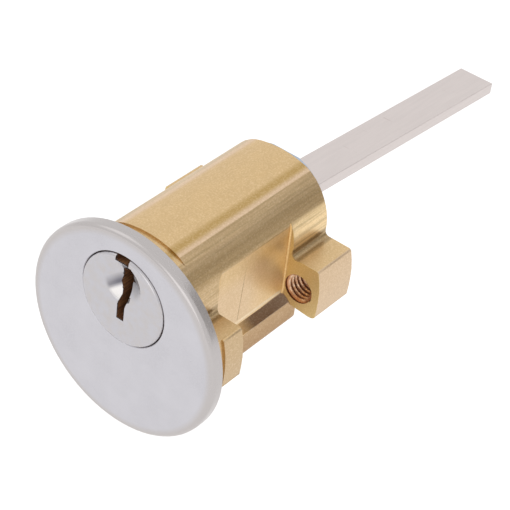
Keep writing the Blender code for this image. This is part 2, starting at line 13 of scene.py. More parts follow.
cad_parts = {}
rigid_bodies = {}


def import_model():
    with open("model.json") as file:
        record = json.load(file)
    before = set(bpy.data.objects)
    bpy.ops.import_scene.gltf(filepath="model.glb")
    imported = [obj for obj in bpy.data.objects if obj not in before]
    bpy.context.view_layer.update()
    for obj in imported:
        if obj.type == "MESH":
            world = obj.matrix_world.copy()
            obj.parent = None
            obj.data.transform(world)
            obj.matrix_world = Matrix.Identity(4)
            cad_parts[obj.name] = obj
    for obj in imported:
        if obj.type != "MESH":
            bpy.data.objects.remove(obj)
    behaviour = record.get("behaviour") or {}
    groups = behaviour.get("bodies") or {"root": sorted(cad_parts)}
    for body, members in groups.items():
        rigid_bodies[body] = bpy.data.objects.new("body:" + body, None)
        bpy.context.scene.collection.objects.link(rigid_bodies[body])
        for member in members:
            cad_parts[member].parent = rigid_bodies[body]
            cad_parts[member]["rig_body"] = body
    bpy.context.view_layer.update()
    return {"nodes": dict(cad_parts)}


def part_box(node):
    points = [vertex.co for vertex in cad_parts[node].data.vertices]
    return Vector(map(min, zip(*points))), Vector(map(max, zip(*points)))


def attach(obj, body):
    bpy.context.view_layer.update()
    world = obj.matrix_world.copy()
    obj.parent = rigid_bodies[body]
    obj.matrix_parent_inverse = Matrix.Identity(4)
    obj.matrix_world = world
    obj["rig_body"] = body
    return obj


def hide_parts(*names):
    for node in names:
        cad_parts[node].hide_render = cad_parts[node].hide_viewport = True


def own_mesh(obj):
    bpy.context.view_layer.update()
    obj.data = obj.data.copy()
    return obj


bl_info = {
    "name": "Rim cylinder finish",
    "version": (1, 0, 0),
    "blender": (4, 5, 0),
    "location": "3D View > Sidebar > Rim cylinder",
    "description": "Finishes the packed rim cylinder and sets its studio",
    "category": "Object",
}

MM = 0.001
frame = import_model()
plug_low, plug_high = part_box("plug")
body_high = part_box("cylinder_body")[1]

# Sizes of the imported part, in millimetres
FACE_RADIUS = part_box("face_disc")[1].x / MM
PLUG_FRONT_Y = plug_low.y / MM
PLUG_AXIS_Z = (plug_low.z + plug_high.z) / 2 / MM
BAR_RADIUS = body_high.x / MM
BODY_END_Y = body_high.y / MM


def linear(code):
    """A colour written as an sRGB hex code, turned to linear red, green and blue."""
    channels = [int(code[i : i + 2], 16) / 255 for i in (0, 2, 4)]
    return [c / 12.92 if c <= 0.04045 else ((c + 0.055) / 1.055) ** 2.4 for c in channels]


class RimCylinderSizes(bpy.types.PropertyGroup):
    """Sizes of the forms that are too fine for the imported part"""

    thread_pitch: bpy.props.FloatProperty(
        name="Thread pitch",
        description="Pitch of the threads in the lugs, as on an M5 screw",
        default=0.8 * MM,
        min=0.3 * MM,
        max=2.0 * MM,
        unit="LENGTH",
    )
    thread_depth: bpy.props.FloatProperty(
        name="Thread depth",
        description="How far the thread's crest stands into the hole",
        default=0.42 * MM,
        min=0.1 * MM,
        max=1.0 * MM,
        unit="LENGTH",
    )
    edge_break: bpy.props.FloatProperty(
        name="Edge break",
        description="Width of the small bevel that filing leaves on the milled edges",
        default=0.12 * MM,
        min=0.0,
        max=0.5 * MM,
        unit="LENGTH",
    )


class RimCylinderColours(bpy.types.PropertyGroup):
    """The metals' main colours"""

    brass: bpy.props.FloatVectorProperty(
        name="Milled brass",
        description="Colour of the freshly milled brass",
        subtype="COLOR",
        size=3,
        default=linear("DDBE8E"),
        min=0.0,
        max=1.0,
    )
    satin: bpy.props.FloatVectorProperty(
        name="Satin plating",
        description="Colour of the satin plating on the face and the plug",
        subtype="COLOR",
        size=3,
        default=linear("C6C4C9"),
        min=0.0,
        max=1.0,
    )
    tail: bpy.props.FloatVectorProperty(
        name="Tail bar",
        description="Colour of the plated tail bar",
        subtype="COLOR",
        size=3,
        default=linear("D8CFCC"),
        min=0.0,
        max=1.0,
    )


# Node materials

# A colour Mix node's sockets go by number, because its other kinds of socket have the same names
COLOUR_A, COLOUR_B, COLOUR_RESULT = 6, 7, 2


def add_node(tree, kind, inputs, **settings):
    """Adds one node with its settings and inputs, and gives its outputs.

    An input goes by its name or number, and is a plain value or another node's output.
    """
    node = tree.nodes.new("ShaderNode" + kind)
    for name, value in settings.items():
        setattr(node, name, value)
    for name, value in inputs.items():
        if isinstance(value, bpy.types.NodeSocket):
            tree.links.new(value, node.inputs[name])
        else:
            node.inputs[name].default_value = value
    return node.outputs


def chain(tree, value, *steps):
    """A value taken through steps of arithmetic, each an operation and its other term."""
    for operation, term in steps:
        value = add_node(tree, "Math", {0: value, 1: term}, operation=operation)["Value"]
    return value


def joined(tree, measures, fades, operation="MULTIPLY"):
    """The fades' values multiplied, which masks the area where all of them hold, or joined otherwise.

    A fade is a measure's name, where on it the value starts to change and where it stops, and, where those
    aren't 0 and 1, the value's start and its end.
    """
    values = []
    for name, starts_at, stops_at, *ends in fades:
        start, end = ends or (0.0, 1.0)
        span = {"From Min": starts_at, "From Max": stops_at, "To Min": start, "To Max": end}
        values.append(add_node(tree, "MapRange", {"Value": measures[name], **span})["Result"])
    return chain(tree, values[0], *((operation, value) for value in values[1:]))


def opaque(colour):
    """A hex code or a linear colour, ready for a node's socket. Another node's output stays as it is."""
    if isinstance(colour, bpy.types.NodeSocket):
        return colour
    return (*(linear(colour) if isinstance(colour, str) else colour), 1.0)


def painted(tree, measures, colour, areas):
    """A colour with others laid over it in order, each a colour and the fades of its area."""
    base = opaque(colour)
    for over, *fades in areas:
        inputs = {"Factor": joined(tree, measures, fades), COLOUR_A: base, COLOUR_B: opaque(over)}
        base = add_node(tree, "Mix", inputs, data_type="RGBA")[COLOUR_RESULT]
    return base


def darker(colour, share):
    """A linear colour with its light cut to a share."""
    return [channel * share for channel in colour]


def start_metal(name, noises):
    """A new material, its node tree, and its measures: the place in millimetres and each noise by its name.

    A noise is its grain along x, y and z in millimetres, its detail and its roughness. Real polishing lines
    and drawing marks are finer than a pixel, so they are drawn coarser, at 0.1 mm or a little more.
    """
    material = bpy.data.materials.new(name)
    material.use_nodes = True
    tree = material.node_tree
    place = add_node(tree, "TexCoord", {})["Object"]
    place = add_node(tree, "VectorMath", {0: place, "Scale": 1.0 / MM}, operation="SCALE")["Vector"]
    measures = {"place": place}
    for noise, (sizes, detail, roughness) in noises.items():
        scale = [1.0 / size for size in sizes]
        scaled = add_node(tree, "Mapping", {"Vector": place, "Scale": scale})["Vector"]
        inputs = {"Vector": scaled, "Scale": 1.0, "Detail": detail, "Roughness": roughness}
        measures[noise] = add_node(tree, "TexNoise", inputs)["Fac"]
    return material, tree, measures


def add_places(tree, measures, centres):
    """Adds the measures of place: x, y, z, the side's distance from the middle plane, and how far a point of
    the section is from named centres, which both sides have."""
    axes = add_node(tree, "SeparateXYZ", {"Vector": measures["place"]})
    side = chain(tree, axes["X"], ("ABSOLUTE", 0.0))
    measures.update(x=axes["X"], y=axes["Y"], z=axes["Z"], side=side)
    section = add_node(tree, "CombineXYZ", {"X": side, "Z": axes["Z"]})["Vector"]
    for name, (side_at, z_at) in centres.items():
        inputs = {0: section, 1: (side_at, 0.0, z_at)}
        measures[name] = add_node(tree, "VectorMath", inputs, operation="DISTANCE")["Value"]


def finish_metal(tree, measures, colour, areas, roughness, metallic=1.0, relief=(), bump=(0.0, 0.0)):
    """Sets the shader: a painted colour, a roughness and a metallic value that are numbers or fades to add
    up, and a relief of fades to add up, with the bump's strength and its depth in millimetres."""
    shader = tree.nodes["Principled BSDF"]
    tree.links.new(painted(tree, measures, colour, areas), shader.inputs["Base Color"])
    for name, level in (("Roughness", roughness), ("Metallic", metallic)):
        if isinstance(level, float):
            shader.inputs[name].default_value = level
        else:
            tree.links.new(joined(tree, measures, level, "ADD"), shader.inputs[name])
    if relief:
        height = joined(tree, measures, relief, "ADD")
        inputs = {"Strength": bump[0], "Distance": bump[1] * MM, "Height": height}
        tree.links.new(add_node(tree, "Bump", inputs)["Normal"], shader.inputs["Normal"])


# Centres of the body's round forms in its section: distance from the middle plane and height, in millimetres
LUG_HOLE_CENTRE = (11.55, -0.25)
BODY_CENTRES = {
    "bar_radius": (0.0, 0.0),
    "housing_radius": (0.0, PLUG_AXIS_Z),
    "groove_radius": (7.4, -5.85),
    "fillet_radius": (10.53, 5.40),
    "hole_radius": LUG_HOLE_CENTRE,
}
# The tool mark on the pocket's floor: where it crosses z = 0, how much it leans, and how far from its middle
# it is full and has gone
TOOL_MARK_Y = 13.45
TOOL_MARK_LEAN = 0.083
TOOL_MARK_FULL = 0.03
TOOL_MARK_GONE = 0.09
# The body's main areas, as fades
TURNED_SKIN = (("bar_radius", BAR_RADIUS - 0.12, BAR_RADIUS - 0.05),)
LOWER_SKIN = (*TURNED_SKIN, ("z", 4.95, 4.65))
HOUSING_WALL = (
    ("housing_radius", 9.57, 9.60),
    ("housing_radius", 9.91, 9.88),
    ("z", 4.9, 5.2),
    ("side", 5.50, 5.60),
)
POCKET_FLOOR = (("side", 8.68, 8.70), ("side", 8.97, 8.95), ("z", 8.0, 5.0))
LUG_FRONT = (("y", 23.89, 23.93), ("y", 24.09, 24.05), ("side", 9.05, 9.20))
GROOVE = (("groove_radius", 3.37, 3.40), ("groove_radius", 3.77, 3.74), ("z", -2.15, -2.25))
BRASS_AREAS = (
    # The turned skin of ears and lugs, darker on the ears, a painted highlight on the strip along each ridge,
    # and painted shade in a band beside the right one
    ("D8BD9C", *LOWER_SKIN),
    ("CBB08A", *LOWER_SKIN, ("y", 10.0, 9.0)),
    ("E0C4A4", *TURNED_SKIN, ("side", 4.2, 5.0), ("z", 9.0, 11.0)),
    ("C0A068", ("x", 3.35, 4.05), ("x", 5.25, 4.55), ("z", 10.0, 11.0)),
    # The housing's milled wall, with painted shade high up, painted light beside the lug, and scored streaks
    ("D3B78E", *HOUSING_WALL),
    ("BEA278", *HOUSING_WALL, ("z", 9.5, 10.2), ("z", 12.7, 12.0)),
    ("F2D6A6", *HOUSING_WALL, ("z", 10.5, 9.9), ("y", 24.0, 24.3)),
    ("A38A62", *HOUSING_WALL, ("scoring", 0.42, 0.70, 0.0, 0.55)),
    # The pocket's floor, with a painted warm reflection of the lug towards the rear, its tool mark and a
    # painted highlight along its lower edge, and the lug's front, painted more golden for the light the brass
    # around it throws
    ("DCBF98", *POCKET_FLOOR),
    ("EECB92", *POCKET_FLOOR, ("y", 15.5, 21.5)),
    (
        "A0805A",
        *POCKET_FLOOR,
        ("mark_y", TOOL_MARK_Y - TOOL_MARK_GONE, TOOL_MARK_Y - TOOL_MARK_FULL),
        ("mark_y", TOOL_MARK_Y + TOOL_MARK_GONE, TOOL_MARK_Y + TOOL_MARK_FULL),
        ("z", -1.6, -1.4),
    ),
    ("EAD2AE", *POCKET_FLOOR, ("z", -2.25, -2.20), ("z", -1.70, -1.75)),
    ("DABE84", *LUG_FRONT),
    # The lower rail, painted darker downwards as shade except on its turned skin, which stays pale, and the
    # groove above it, painted pale to lift it out of its shade, with painted shade at its rear end
    (
        "AD8960",
        ("z", -9.15, -9.35),
        ("bar_radius", BAR_RADIUS - 0.078, BAR_RADIUS - 0.092),
        ("z", -9.0, -13.5, 0.7, 1.0),
    ),
    ("F6D49A", *GROOVE),
    ("94765A", *GROOVE, ("y", 18.6, 22.0)),
    # The fillet above ears and lugs, streaked brown, and the pocket's rear round, painted golden to tone down
    # the light it catches
    ("A88F6A", ("fillet_radius", 1.10, 0.86), ("streaks", 0.35, 0.60, 0.65, 1.0)),
    ("E2BA7C", ("y", 23.67, 23.70), ("y", 24.00, 23.97), ("side", 8.72, 8.75), ("side", 9.11, 9.08)),
    # The lug's hole, darker brown for cutting oil and painted shade, and the neck behind the face, with a
    # painted shadow beside the face
    ("9A6A48", ("hole_radius", 2.44, 2.41), ("y", 20.0, 21.0)),
    ("8A6338", ("y", 1.3, 0.2)),
    # Dark and light grains everywhere
    ("7A5C34", ("grain", 0.36, 0.66, 0.0, 0.13)),
    ("FFF0D8", ("grain", 0.34, 0.50, 0.14, 0.0)),
)
# Where the brass is dull, and how much
DULL_AREAS = (
    (1.0, *GROOVE),
    (0.45, *POCKET_FLOOR, ("y", 16.5, 20.0)),
    (0.25, *LUG_FRONT),
)


def brass_material(colour):
    """Free-machining brass: the turned skin is matt and even, the milled sides carry cutter streaks, and the
    fillets are streaked brown. Painted shade darkens the groove's rear, the rail, the hole, the neck and bands
    of the wall, and painted highlights and reflections lighten the ridge strips, edges and the corner by the
    lug."""
    noises = {
        "streaks": ((0.16, 9.0, 0.16), 4.0, 0.65),
        "mottle": ((1.6, 3.0, 1.6), 4.0, 0.6),
        "grain": ((0.24, 0.30, 0.24), 4.0, 0.65),
        "scoring": ((0.42, 16.0, 0.42), 3.0, 0.6),
    }
    material, tree, measures = start_metal("milled_brass", noises)
    add_places(tree, measures, BODY_CENTRES)
    measures["mark_y"] = chain(tree, measures["z"], ("MULTIPLY", -TOOL_MARK_LEAN), ("ADD", measures["y"]))
    dull = [chain(tree, joined(tree, measures, fades), ("MULTIPLY", share)) for share, *fades in DULL_AREAS]
    measures["dull"] = chain(tree, dull[0], *(("MAXIMUM", area) for area in dull[1:]))
    finish_metal(
        tree,
        measures,
        colour,
        ((darker(colour, 0.94), ("mottle", 0.3, 0.7)), *BRASS_AREAS),
        roughness=(
            ("streaks", 0.3, 0.7, 0.30, 0.38),
            ("grain", 0.3, 0.7, 0.0, 0.06),
            ("dull", 0.0, 1.0, 0.0, 0.14),
        ),
        metallic=(("dull", 0.0, 1.0, 1.0, 0.25),),
        relief=(("streaks", 0.0, 1.0), ("grain", 0.0, 1.0, 0.0, 0.8)),
        bump=(0.3, 0.02),
    )
    return material


def thread_material():
    """Tapped brass with cutting oil left in it: pale coppery crests, partly a painted highlight, over roots
    painted browner as shade.
    """
    material, tree, measures = start_metal("tapped_brass", {"stain": ((0.5, 0.5, 0.5), 3.0, 0.6)})
    add_places(tree, measures, {"hole_radius": LUG_HOLE_CENTRE})
    finish_metal(
        tree,
        measures,
        "F0D0B0",
        # Oil stains, and painted shade in the roots
        (("C08A60", ("stain", 0.35, 0.65)), ("C08458", ("hole_radius", 2.06, 2.32))),
        roughness=0.22,
        metallic=0.6,
        relief=(("stain", 0.0, 1.0),),
        bump=(0.2, 0.03),
    )
    return material


def satin_material(colour):
    """Satin chrome plating: fine crossed polishing lines under a cool grey sheen, with painted shade along its
    rim.
    """
    noises = {"grit": ((0.12, 0.12, 0.12), 3.0, 0.6), "cloud": ((5.0, 5.0, 5.0), 4.0, 0.55)}
    material, tree, measures = start_metal("satin_chrome_plate", noises)
    add_places(tree, measures, {"face_radius": (0.0, 0.0)})
    finish_metal(
        tree,
        measures,
        colour,
        (
            (darker(colour, 0.95), ("cloud", 0.35, 0.65)),
            # Painted shade along the rounded rim
            ("BCB7B6", ("face_radius", FACE_RADIUS - 1.6, FACE_RADIUS - 0.7)),
        ),
        roughness=(("grit", 0.3, 0.7, 0.20, 0.27), ("cloud", 0.3, 0.7, 0.0, 0.03)),
        relief=(("grit", 0.0, 1.0),),
        bump=(0.2, 0.01),
    )
    return material


# The dish about the keyway's mouth: its centre, its depth and the radius of the ball that cut it
DISH_CENTRE = (0.0, 9.2)
DISH_DEPTH = 0.8
DISH_BALL_RADIUS = 7.839
# The painted shade band in the dish: the unit vector across it, and how far it is from the origin along that
SHADE_BAND_ACROSS = (-0.625, 0.0, 0.78)
SHADE_BAND_AT = 7.45
DISH_LEFT = (("dish_radius", 3.45, 3.0), ("x", -0.1, -0.3))
DISH_RIGHT = (("dish_radius", 3.45, 2.6), ("x", 0.3, 0.5))
PLATE_AREAS = (
    # Faint stains
    ("BDB5AE", ("stain", 0.40, 0.75, 0.0, 0.6)),
    # In the dish a painted highlight lies below the slanting band left of the keyway, and painted shade along
    # that band and at the upper right
    ("E8E4E2", *DISH_LEFT, ("across", SHADE_BAND_AT - 0.5, SHADE_BAND_AT - 0.9)),
    (
        "74727A",
        *DISH_LEFT,
        ("across", SHADE_BAND_AT - 0.60, SHADE_BAND_AT - 0.15),
        ("across", SHADE_BAND_AT + 1.35, SHADE_BAND_AT + 0.15),
        ("x", -3.6, -1.2, 0.45, 1.0),
    ),
    ("56545A", *DISH_RIGHT, ("z", 6.8, 11.0)),
)


def plug_material(colour):
    """The plug: satin plating with faint stains and a painted highlight and shade in the dish on its face,
    dull brown brass in the keyway and behind.
    """
    noises = {
        "grit": ((0.12, 0.12, 0.12), 3.0, 0.6),
        "stain": ((1.3, 1.3, 1.3), 5.0, 0.65),
        "broach": ((0.25, 5.0, 0.25), 3.0, 0.6),
    }
    material, tree, measures = start_metal("plated_plug_brass", noises)
    add_places(tree, measures, {"axis_radius": (0.0, PLUG_AXIS_Z), "dish_radius": DISH_CENTRE})
    across = {0: measures["place"], 1: SHADE_BAND_ACROSS}
    measures["across"] = add_node(tree, "VectorMath", across, operation="DOT_PRODUCT")["Value"]
    # How far a point lies below the plated front, which is the flange's plane or, in the dish, a ball's cap
    measures["below"] = chain(
        tree,
        measures["dish_radius"],
        ("MULTIPLY", measures["dish_radius"]),
        ("MULTIPLY", -1.0),
        ("ADD", DISH_BALL_RADIUS**2),
        ("SQRT", 0.0),
        ("SUBTRACT", DISH_BALL_RADIUS - DISH_DEPTH),
        ("MAXIMUM", 0.0),
        ("MULTIPLY", -1.0),
        ("ADD", measures["y"]),
        ("SUBTRACT", PLUG_FRONT_Y),
    )
    # The bare brass: the keyway's walls and all behind the flange, but not the plated front itself
    measures["bare"] = chain(
        tree,
        joined(tree, measures, (("below", 0.10, 0.22), ("axis_radius", 6.9, 6.7))),
        ("MAXIMUM", joined(tree, measures, (("y", PLUG_FRONT_Y + 0.42, PLUG_FRONT_Y + 0.55),))),
        ("MINIMUM", joined(tree, measures, (("below", 0.02, 0.10),))),
    )
    brown_brass = painted(tree, measures, "6B4634", (("A87A52", ("broach", 0.35, 0.65)),))
    finish_metal(
        tree,
        measures,
        darker(colour, 0.92),
        (*PLATE_AREAS, (brown_brass, ("bare", 0.0, 1.0))),
        roughness=(("grit", 0.3, 0.7, 0.18, 0.25), ("bare", 0.0, 1.0, 0.0, 0.2)),
        metallic=(("bare", 0.0, 1.0, 1.0, 0.35),),
        relief=(("grit", 0.0, 1.0),),
        bump=(0.2, 0.01),
    )
    return material


def zinc_material():
    """Steel with blue zinc plating: a cool, slightly cloudy sheen."""
    material, tree, measures = start_metal("blue_zinc_plate", {"cloud": ((1.5, 1.5, 1.5), 4.0, 0.6)})
    finish_metal(
        tree,
        measures,
        "B9C3D2",
        (("A9B2C0", ("cloud", 0.3, 0.7)),),
        roughness=(("cloud", 0.3, 0.7, 0.25, 0.40),),
        relief=(("cloud", 0.0, 1.0),),
        bump=(0.1, 0.02),
    )
    return material


def tail_material(colour):
    """Nickel-plated steel strip: a warm grey with a few fine scratches and a rolled grain."""
    noises = {
        "rolled": ((0.5, 12.0, 0.5), 3.0, 0.6),
        "grit": ((0.2, 0.2, 0.2), 2.0, 0.6),
        "scratch": ((4.0, 0.35, 4.0), 2.0, 0.5),
    }
    material, tree, measures = start_metal("nickel_plated_strip", noises)
    finish_metal(
        tree,
        measures,
        colour,
        ((darker(colour, 0.95), ("rolled", 0.3, 0.7)), ("B4A09C", ("scratch", 0.72, 0.80, 0.0, 0.6))),
        roughness=(("grit", 0.3, 0.7, 0.34, 0.44),),
        relief=(("grit", 0.0, 1.0),),
        bump=(0.15, 0.015),
    )
    return material


def pin_material():
    """Turned brass pins: bright rings from the lathe."""
    material, tree, measures = start_metal("turned_pin_brass", {"rings": ((2.0, 2.0, 0.12), 2.0, 0.5)})
    finish_metal(
        tree,
        measures,
        "D9B26A",
        (("C79C55", ("rings", 0.3, 0.7)),),
        roughness=0.25,
        relief=(("rings", 0.0, 1.0),),
        bump=(0.2, 0.01),
    )
    return material


def spring_material():
    """Drawn spring wire: dark bright steel."""
    material, tree, measures = start_metal("drawn_spring_wire", {"drawn": ((0.1, 0.1, 0.1), 2.0, 0.5)})
    finish_metal(tree, measures, "8E8E90", (("A6A6A8", ("drawn", 0.3, 0.7)),), roughness=0.28)
    return material


# Pieces

# Vertices of a copy that are closer than this become one, and facets that bend less than this become one face
MERGE_DISTANCE = 0.0005 * MM
FLAT_BEND = radians(0.2)
# Edges that bend more than this are broken
BROKEN_BEND = radians(38)
# How strongly large faces pull the shading flat, out of 100
FLAT_FACE_WEIGHT = 90
# Edges that bend less than this shade smooth: on the body, on round pieces, and on strip and wire
BODY_SMOOTH = radians(30)
ROUND_SMOOTH = radians(32)
STRIP_SMOOTH = radians(40)
# A finished piece has at least this many faces
FEWEST_FACES = 50

# The two long edges of each ridge, in mm: distance from the middle plane and height, and the moves outwards
# and up. Vertices within the reach of an edge belong to it.
RIDGE_MOVES = (
    ((5.29, 14.20), -0.49, 0.17),
    ((5.90, 13.87), -0.40, 0.18),
)
RIDGE_REACH = 0.04
# Where those edges lie after the move, above this height
RIDGE_EDGES = (4.80, 5.50)
RIDGE_EDGE_REACH = 0.1
RIDGE_LOWEST = 14.0
# The outer faces of ears and lugs lie beyond this distance from the middle plane, and those of the lugs alone
# beyond this y, in mm
OUTER_FACE = 13.6
LUG_START = 20.0
# How far the outer faces' lower corners stand out beyond the turned skin, in mm: highest and lowest z, and
# the move
CORNER_MOVES = (
    (-0.3, -1.0, 0.04),
    (-1.0, -2.5, 0.12),
    (-2.5, -3.5, 0.27),
    (-3.5, -3.9, 0.32),
    (-3.9, -4.05, 0.26),
    (-4.05, -4.12, 0.16),
)
# The same for the lugs alone
LUG_MOVES = (
    (4.70, 3.5, 0.12),
    (3.5, 0.3, 0.10),
    (0.3, -0.3, 0.08),
    (-0.3, -4.12, 0.06),
)


def deselect_all():
    if bpy.context.object and bpy.context.object.mode != "OBJECT":
        bpy.ops.object.mode_set(mode="OBJECT")
    bpy.ops.object.select_all(action="DESELECT")


def select_only(item):
    deselect_all()
    item.select_set(True)
    bpy.context.view_layer.objects.active = item


def move_vertices(piece, inside, across, up):
    """Moves the vertices for which inside(|x|, y, z) holds: outwards on both sides by across, and up."""
    for sign in (1, -1):
        bpy.ops.mesh.select_all(action="DESELECT")
        bpy.ops.object.mode_set(mode="OBJECT")
        for vertex in piece.data.vertices:
            place = vertex.co / MM
            vertex.select = place.x * sign > 0 and inside(abs(place.x), place.y, place.z)
        bpy.ops.object.mode_set(mode="EDIT")
        bpy.ops.mesh.select_mode(type="VERT")
        bpy.ops.transform.translate(value=(sign * across * MM, 0.0, up * MM))


def shape_body(piece):
    """The body's small forms: the flat land on each ridge and the fuller faces of ears and lugs."""
    for (side, height), across, up in RIDGE_MOVES:
        move_vertices(
            piece, lambda x, y, z: abs(x - side) < RIDGE_REACH and abs(z - height) < RIDGE_REACH, across, up
        )
    for highest, lowest, across in CORNER_MOVES:
        move_vertices(piece, lambda x, y, z: x > OUTER_FACE and lowest < z <= highest, across, 0.0)
    for highest, lowest, across in LUG_MOVES:
        move_vertices(
            piece, lambda x, y, z: x > OUTER_FACE and y > LUG_START and lowest < z <= highest, across, 0.0
        )
    bpy.ops.mesh.select_all(action="DESELECT")


def sharpen_ridges(piece):
    """Marks the ridges' long edges sharp, so that the land between them shades as a flat."""
    bpy.ops.object.mode_set(mode="EDIT")
    bpy.ops.mesh.select_mode(type="EDGE")
    bpy.ops.mesh.select_all(action="DESELECT")
    bpy.ops.object.mode_set(mode="OBJECT")
    for edge in piece.data.edges:
        ends = [piece.data.vertices[index].co / MM for index in edge.vertices]
        edge.select = all(
            end.z > RIDGE_LOWEST and any(abs(abs(end.x) - side) < RIDGE_EDGE_REACH for side in RIDGE_EDGES)
            for end in ends
        )
    bpy.ops.object.mode_set(mode="EDIT")
    bpy.ops.mesh.mark_sharp()
    bpy.ops.object.mode_set(mode="OBJECT")


def dressed_copy(node, name, material, smooth_angle, edge_break=0.0, shape=None, sharpen=None, body=None):
    """A copy of a CAD node whose triangles are joined, its edges broken and its curves smoothed."""
    piece = bpy.data.objects.new(name, frame["nodes"][node].data.copy())
    bpy.context.scene.collection.objects.link(piece)
    select_only(piece)
    bpy.ops.object.mode_set(mode="EDIT")
    bpy.ops.mesh.select_all(action="SELECT")
    bpy.ops.mesh.remove_doubles(threshold=MERGE_DISTANCE)
    bpy.ops.mesh.dissolve_limited(angle_limit=FLAT_BEND)
    if shape:
        shape(piece)
    bpy.ops.object.mode_set(mode="OBJECT")
    if edge_break > 0.0:
        bevel = piece.modifiers.new("edge_break", "BEVEL")
        bevel.width = edge_break
        bevel.segments = 2
        bevel.limit_method = "ANGLE"
        bevel.angle_limit = BROKEN_BEND
        bevel.use_clamp_overlap = True
        bpy.ops.object.modifier_apply(modifier=bevel.name)
    bpy.ops.object.shade_smooth_by_angle(angle=smooth_angle)
    if sharpen:
        sharpen(piece)
    weight = piece.modifiers.new("flat_faces", "WEIGHTED_NORMAL")
    weight.keep_sharp = True
    weight.weight = FLAT_FACE_WEIGHT
    bpy.ops.object.modifier_apply(modifier=weight.name)
    piece.data.materials.clear()
    piece.data.materials.append(material)
    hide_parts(node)
    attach(piece, body or frame["nodes"][node]["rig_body"])
    return piece


def finish_node(node, material):
    item = frame["nodes"][node]
    item.data.materials.clear()
    item.data.materials.append(material)


# The thread in a lug's hole: where it starts and how far it ends before the body's end, in mm
THREAD_START = 24.3
THREAD_END_GAP = 0.3
LUG_HOLE_RADIUS = 2.4
# The tooth starts this deep in the hole's wall, in mm. Half its root and half its crest are these shares of
# the pitch.
THREAD_IN_WALL = 0.03
THREAD_HALF_ROOT = 0.44
THREAD_HALF_CREST = 0.07
THREAD_STEPS = 36
THREAD_SMOOTH = radians(35)


def thread_piece(name, side, pitch, depth, material):
    """A helical thread ridge in a lug's hole: a tooth outline turned by a Screw modifier."""
    deselect_all()
    bpy.ops.mesh.primitive_circle_add(vertices=4, radius=pitch / 2, fill_type="NOTHING", location=(0, 0, 0))
    piece = bpy.context.object
    piece.name = name
    root = (LUG_HOLE_RADIUS + THREAD_IN_WALL) * MM
    crest = LUG_HOLE_RADIUS * MM - depth
    corners = (
        (root, -THREAD_HALF_ROOT),
        (crest, -THREAD_HALF_CREST),
        (crest, THREAD_HALF_CREST),
        (root, THREAD_HALF_ROOT),
    )
    for vertex, (radius, share) in zip(piece.data.vertices, corners):
        vertex.co = (radius, 0.0, share * pitch)
    start = THREAD_START * MM
    length = (BODY_END_Y - THREAD_END_GAP - THREAD_START) * MM
    turns = int(length / pitch)
    screw = piece.modifiers.new("thread", "SCREW")
    screw.axis = "Z"
    screw.screw_offset = pitch
    screw.iterations = turns
    screw.steps = THREAD_STEPS
    screw.render_steps = THREAD_STEPS
    screw.use_merge_vertices = False
    bpy.ops.object.modifier_apply(modifier=screw.name)
    bpy.ops.object.mode_set(mode="EDIT")
    bpy.ops.mesh.select_all(action="SELECT")
    bpy.ops.mesh.edge_face_add()
    bpy.ops.mesh.normals_make_consistent(inside=False)
    bpy.ops.object.mode_set(mode="OBJECT")
    centre = (side * LUG_HOLE_CENTRE[0] * MM, start + (length - turns * pitch) / 2, LUG_HOLE_CENTRE[1] * MM)
    piece.data.transform(Matrix.Translation(centre) @ Matrix.Rotation(radians(-90), 4, "X"))
    bpy.ops.object.shade_smooth_by_angle(angle=THREAD_SMOOTH)
    piece.data.materials.clear()
    piece.data.materials.append(material)
    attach(piece, "housing")
    return piece


def require_faces(piece):
    """Stops the script where a piece came out empty or broken."""
    if len(piece.data.polygons) < FEWEST_FACES:
        raise RuntimeError(f"{piece.name} could not be finished")


class RIM_CYLINDER_OT_body(bpy.types.Operator):
    """Breaks the body's edges and gives it milled brass"""

    bl_idname = "rim_cylinder.body"
    bl_label = "Brass body"

    def execute(self, context):
        colours = context.scene.rim_cylinder_colours
        sizes = context.scene.rim_cylinder_sizes
        brass = brass_material(list(colours.brass))
        body = dressed_copy(
            "cylinder_body", "milled_body", brass, BODY_SMOOTH, sizes.edge_break, shape_body, sharpen_ridges
        )
        require_faces(body)
        finish_node("chamber_cover", brass)
        return {"FINISHED"}


class RIM_CYLINDER_OT_threads(bpy.types.Operator):
    """Cuts the threads in the two lugs"""

    bl_idname = "rim_cylinder.threads"
    bl_label = "Lug threads"

    def execute(self, context):
        sizes = context.scene.rim_cylinder_sizes
        brass = thread_material()
        for side, word in ((1, "right"), (-1, "left")):
            thread = thread_piece(f"lug_thread_{word}", side, sizes.thread_pitch, sizes.thread_depth, brass)
            require_faces(thread)
        return {"FINISHED"}


class RIM_CYLINDER_OT_face(bpy.types.Operator):
    """Smooths the face disc and gives it satin plating"""

    bl_idname = "rim_cylinder.face"
    bl_label = "Satin face"

    def execute(self, context):
        satin = satin_material(list(context.scene.rim_cylinder_colours.satin))
        require_faces(dressed_copy("face_disc", "satin_face", satin, ROUND_SMOOTH))
        return {"FINISHED"}


class RIM_CYLINDER_OT_plug(bpy.types.Operator):
    """Smooths the plug and plates its face"""

    bl_idname = "rim_cylinder.plug"
    bl_label = "Keyed plug"

    def execute(self, context):
        material = plug_material(list(context.scene.rim_cylinder_colours.satin))
        require_faces(dressed_copy("plug", "keyed_plug", material, ROUND_SMOOTH))
        return {"FINISHED"}


class RIM_CYLINDER_OT_rear(bpy.types.Operator):
    """Finishes the retaining plate, its screws and the tail bar"""

    bl_idname = "rim_cylinder.rear"
    bl_label = "Plate and tail bar"

    def execute(self, context):
        zinc = zinc_material()
        dressed_copy("retaining_plate", "zinc_plate", zinc, ROUND_SMOOTH)
        finish_node("plate_screw_upper", zinc)
        finish_node("plate_screw_lower", zinc)
        nickel = tail_material(list(context.scene.rim_cylinder_colours.tail))
        edge_break = context.scene.rim_cylinder_sizes.edge_break
        dressed_copy("tail_bar", "tail_strip", nickel, STRIP_SMOOTH, edge_break)
        return {"FINISHED"}


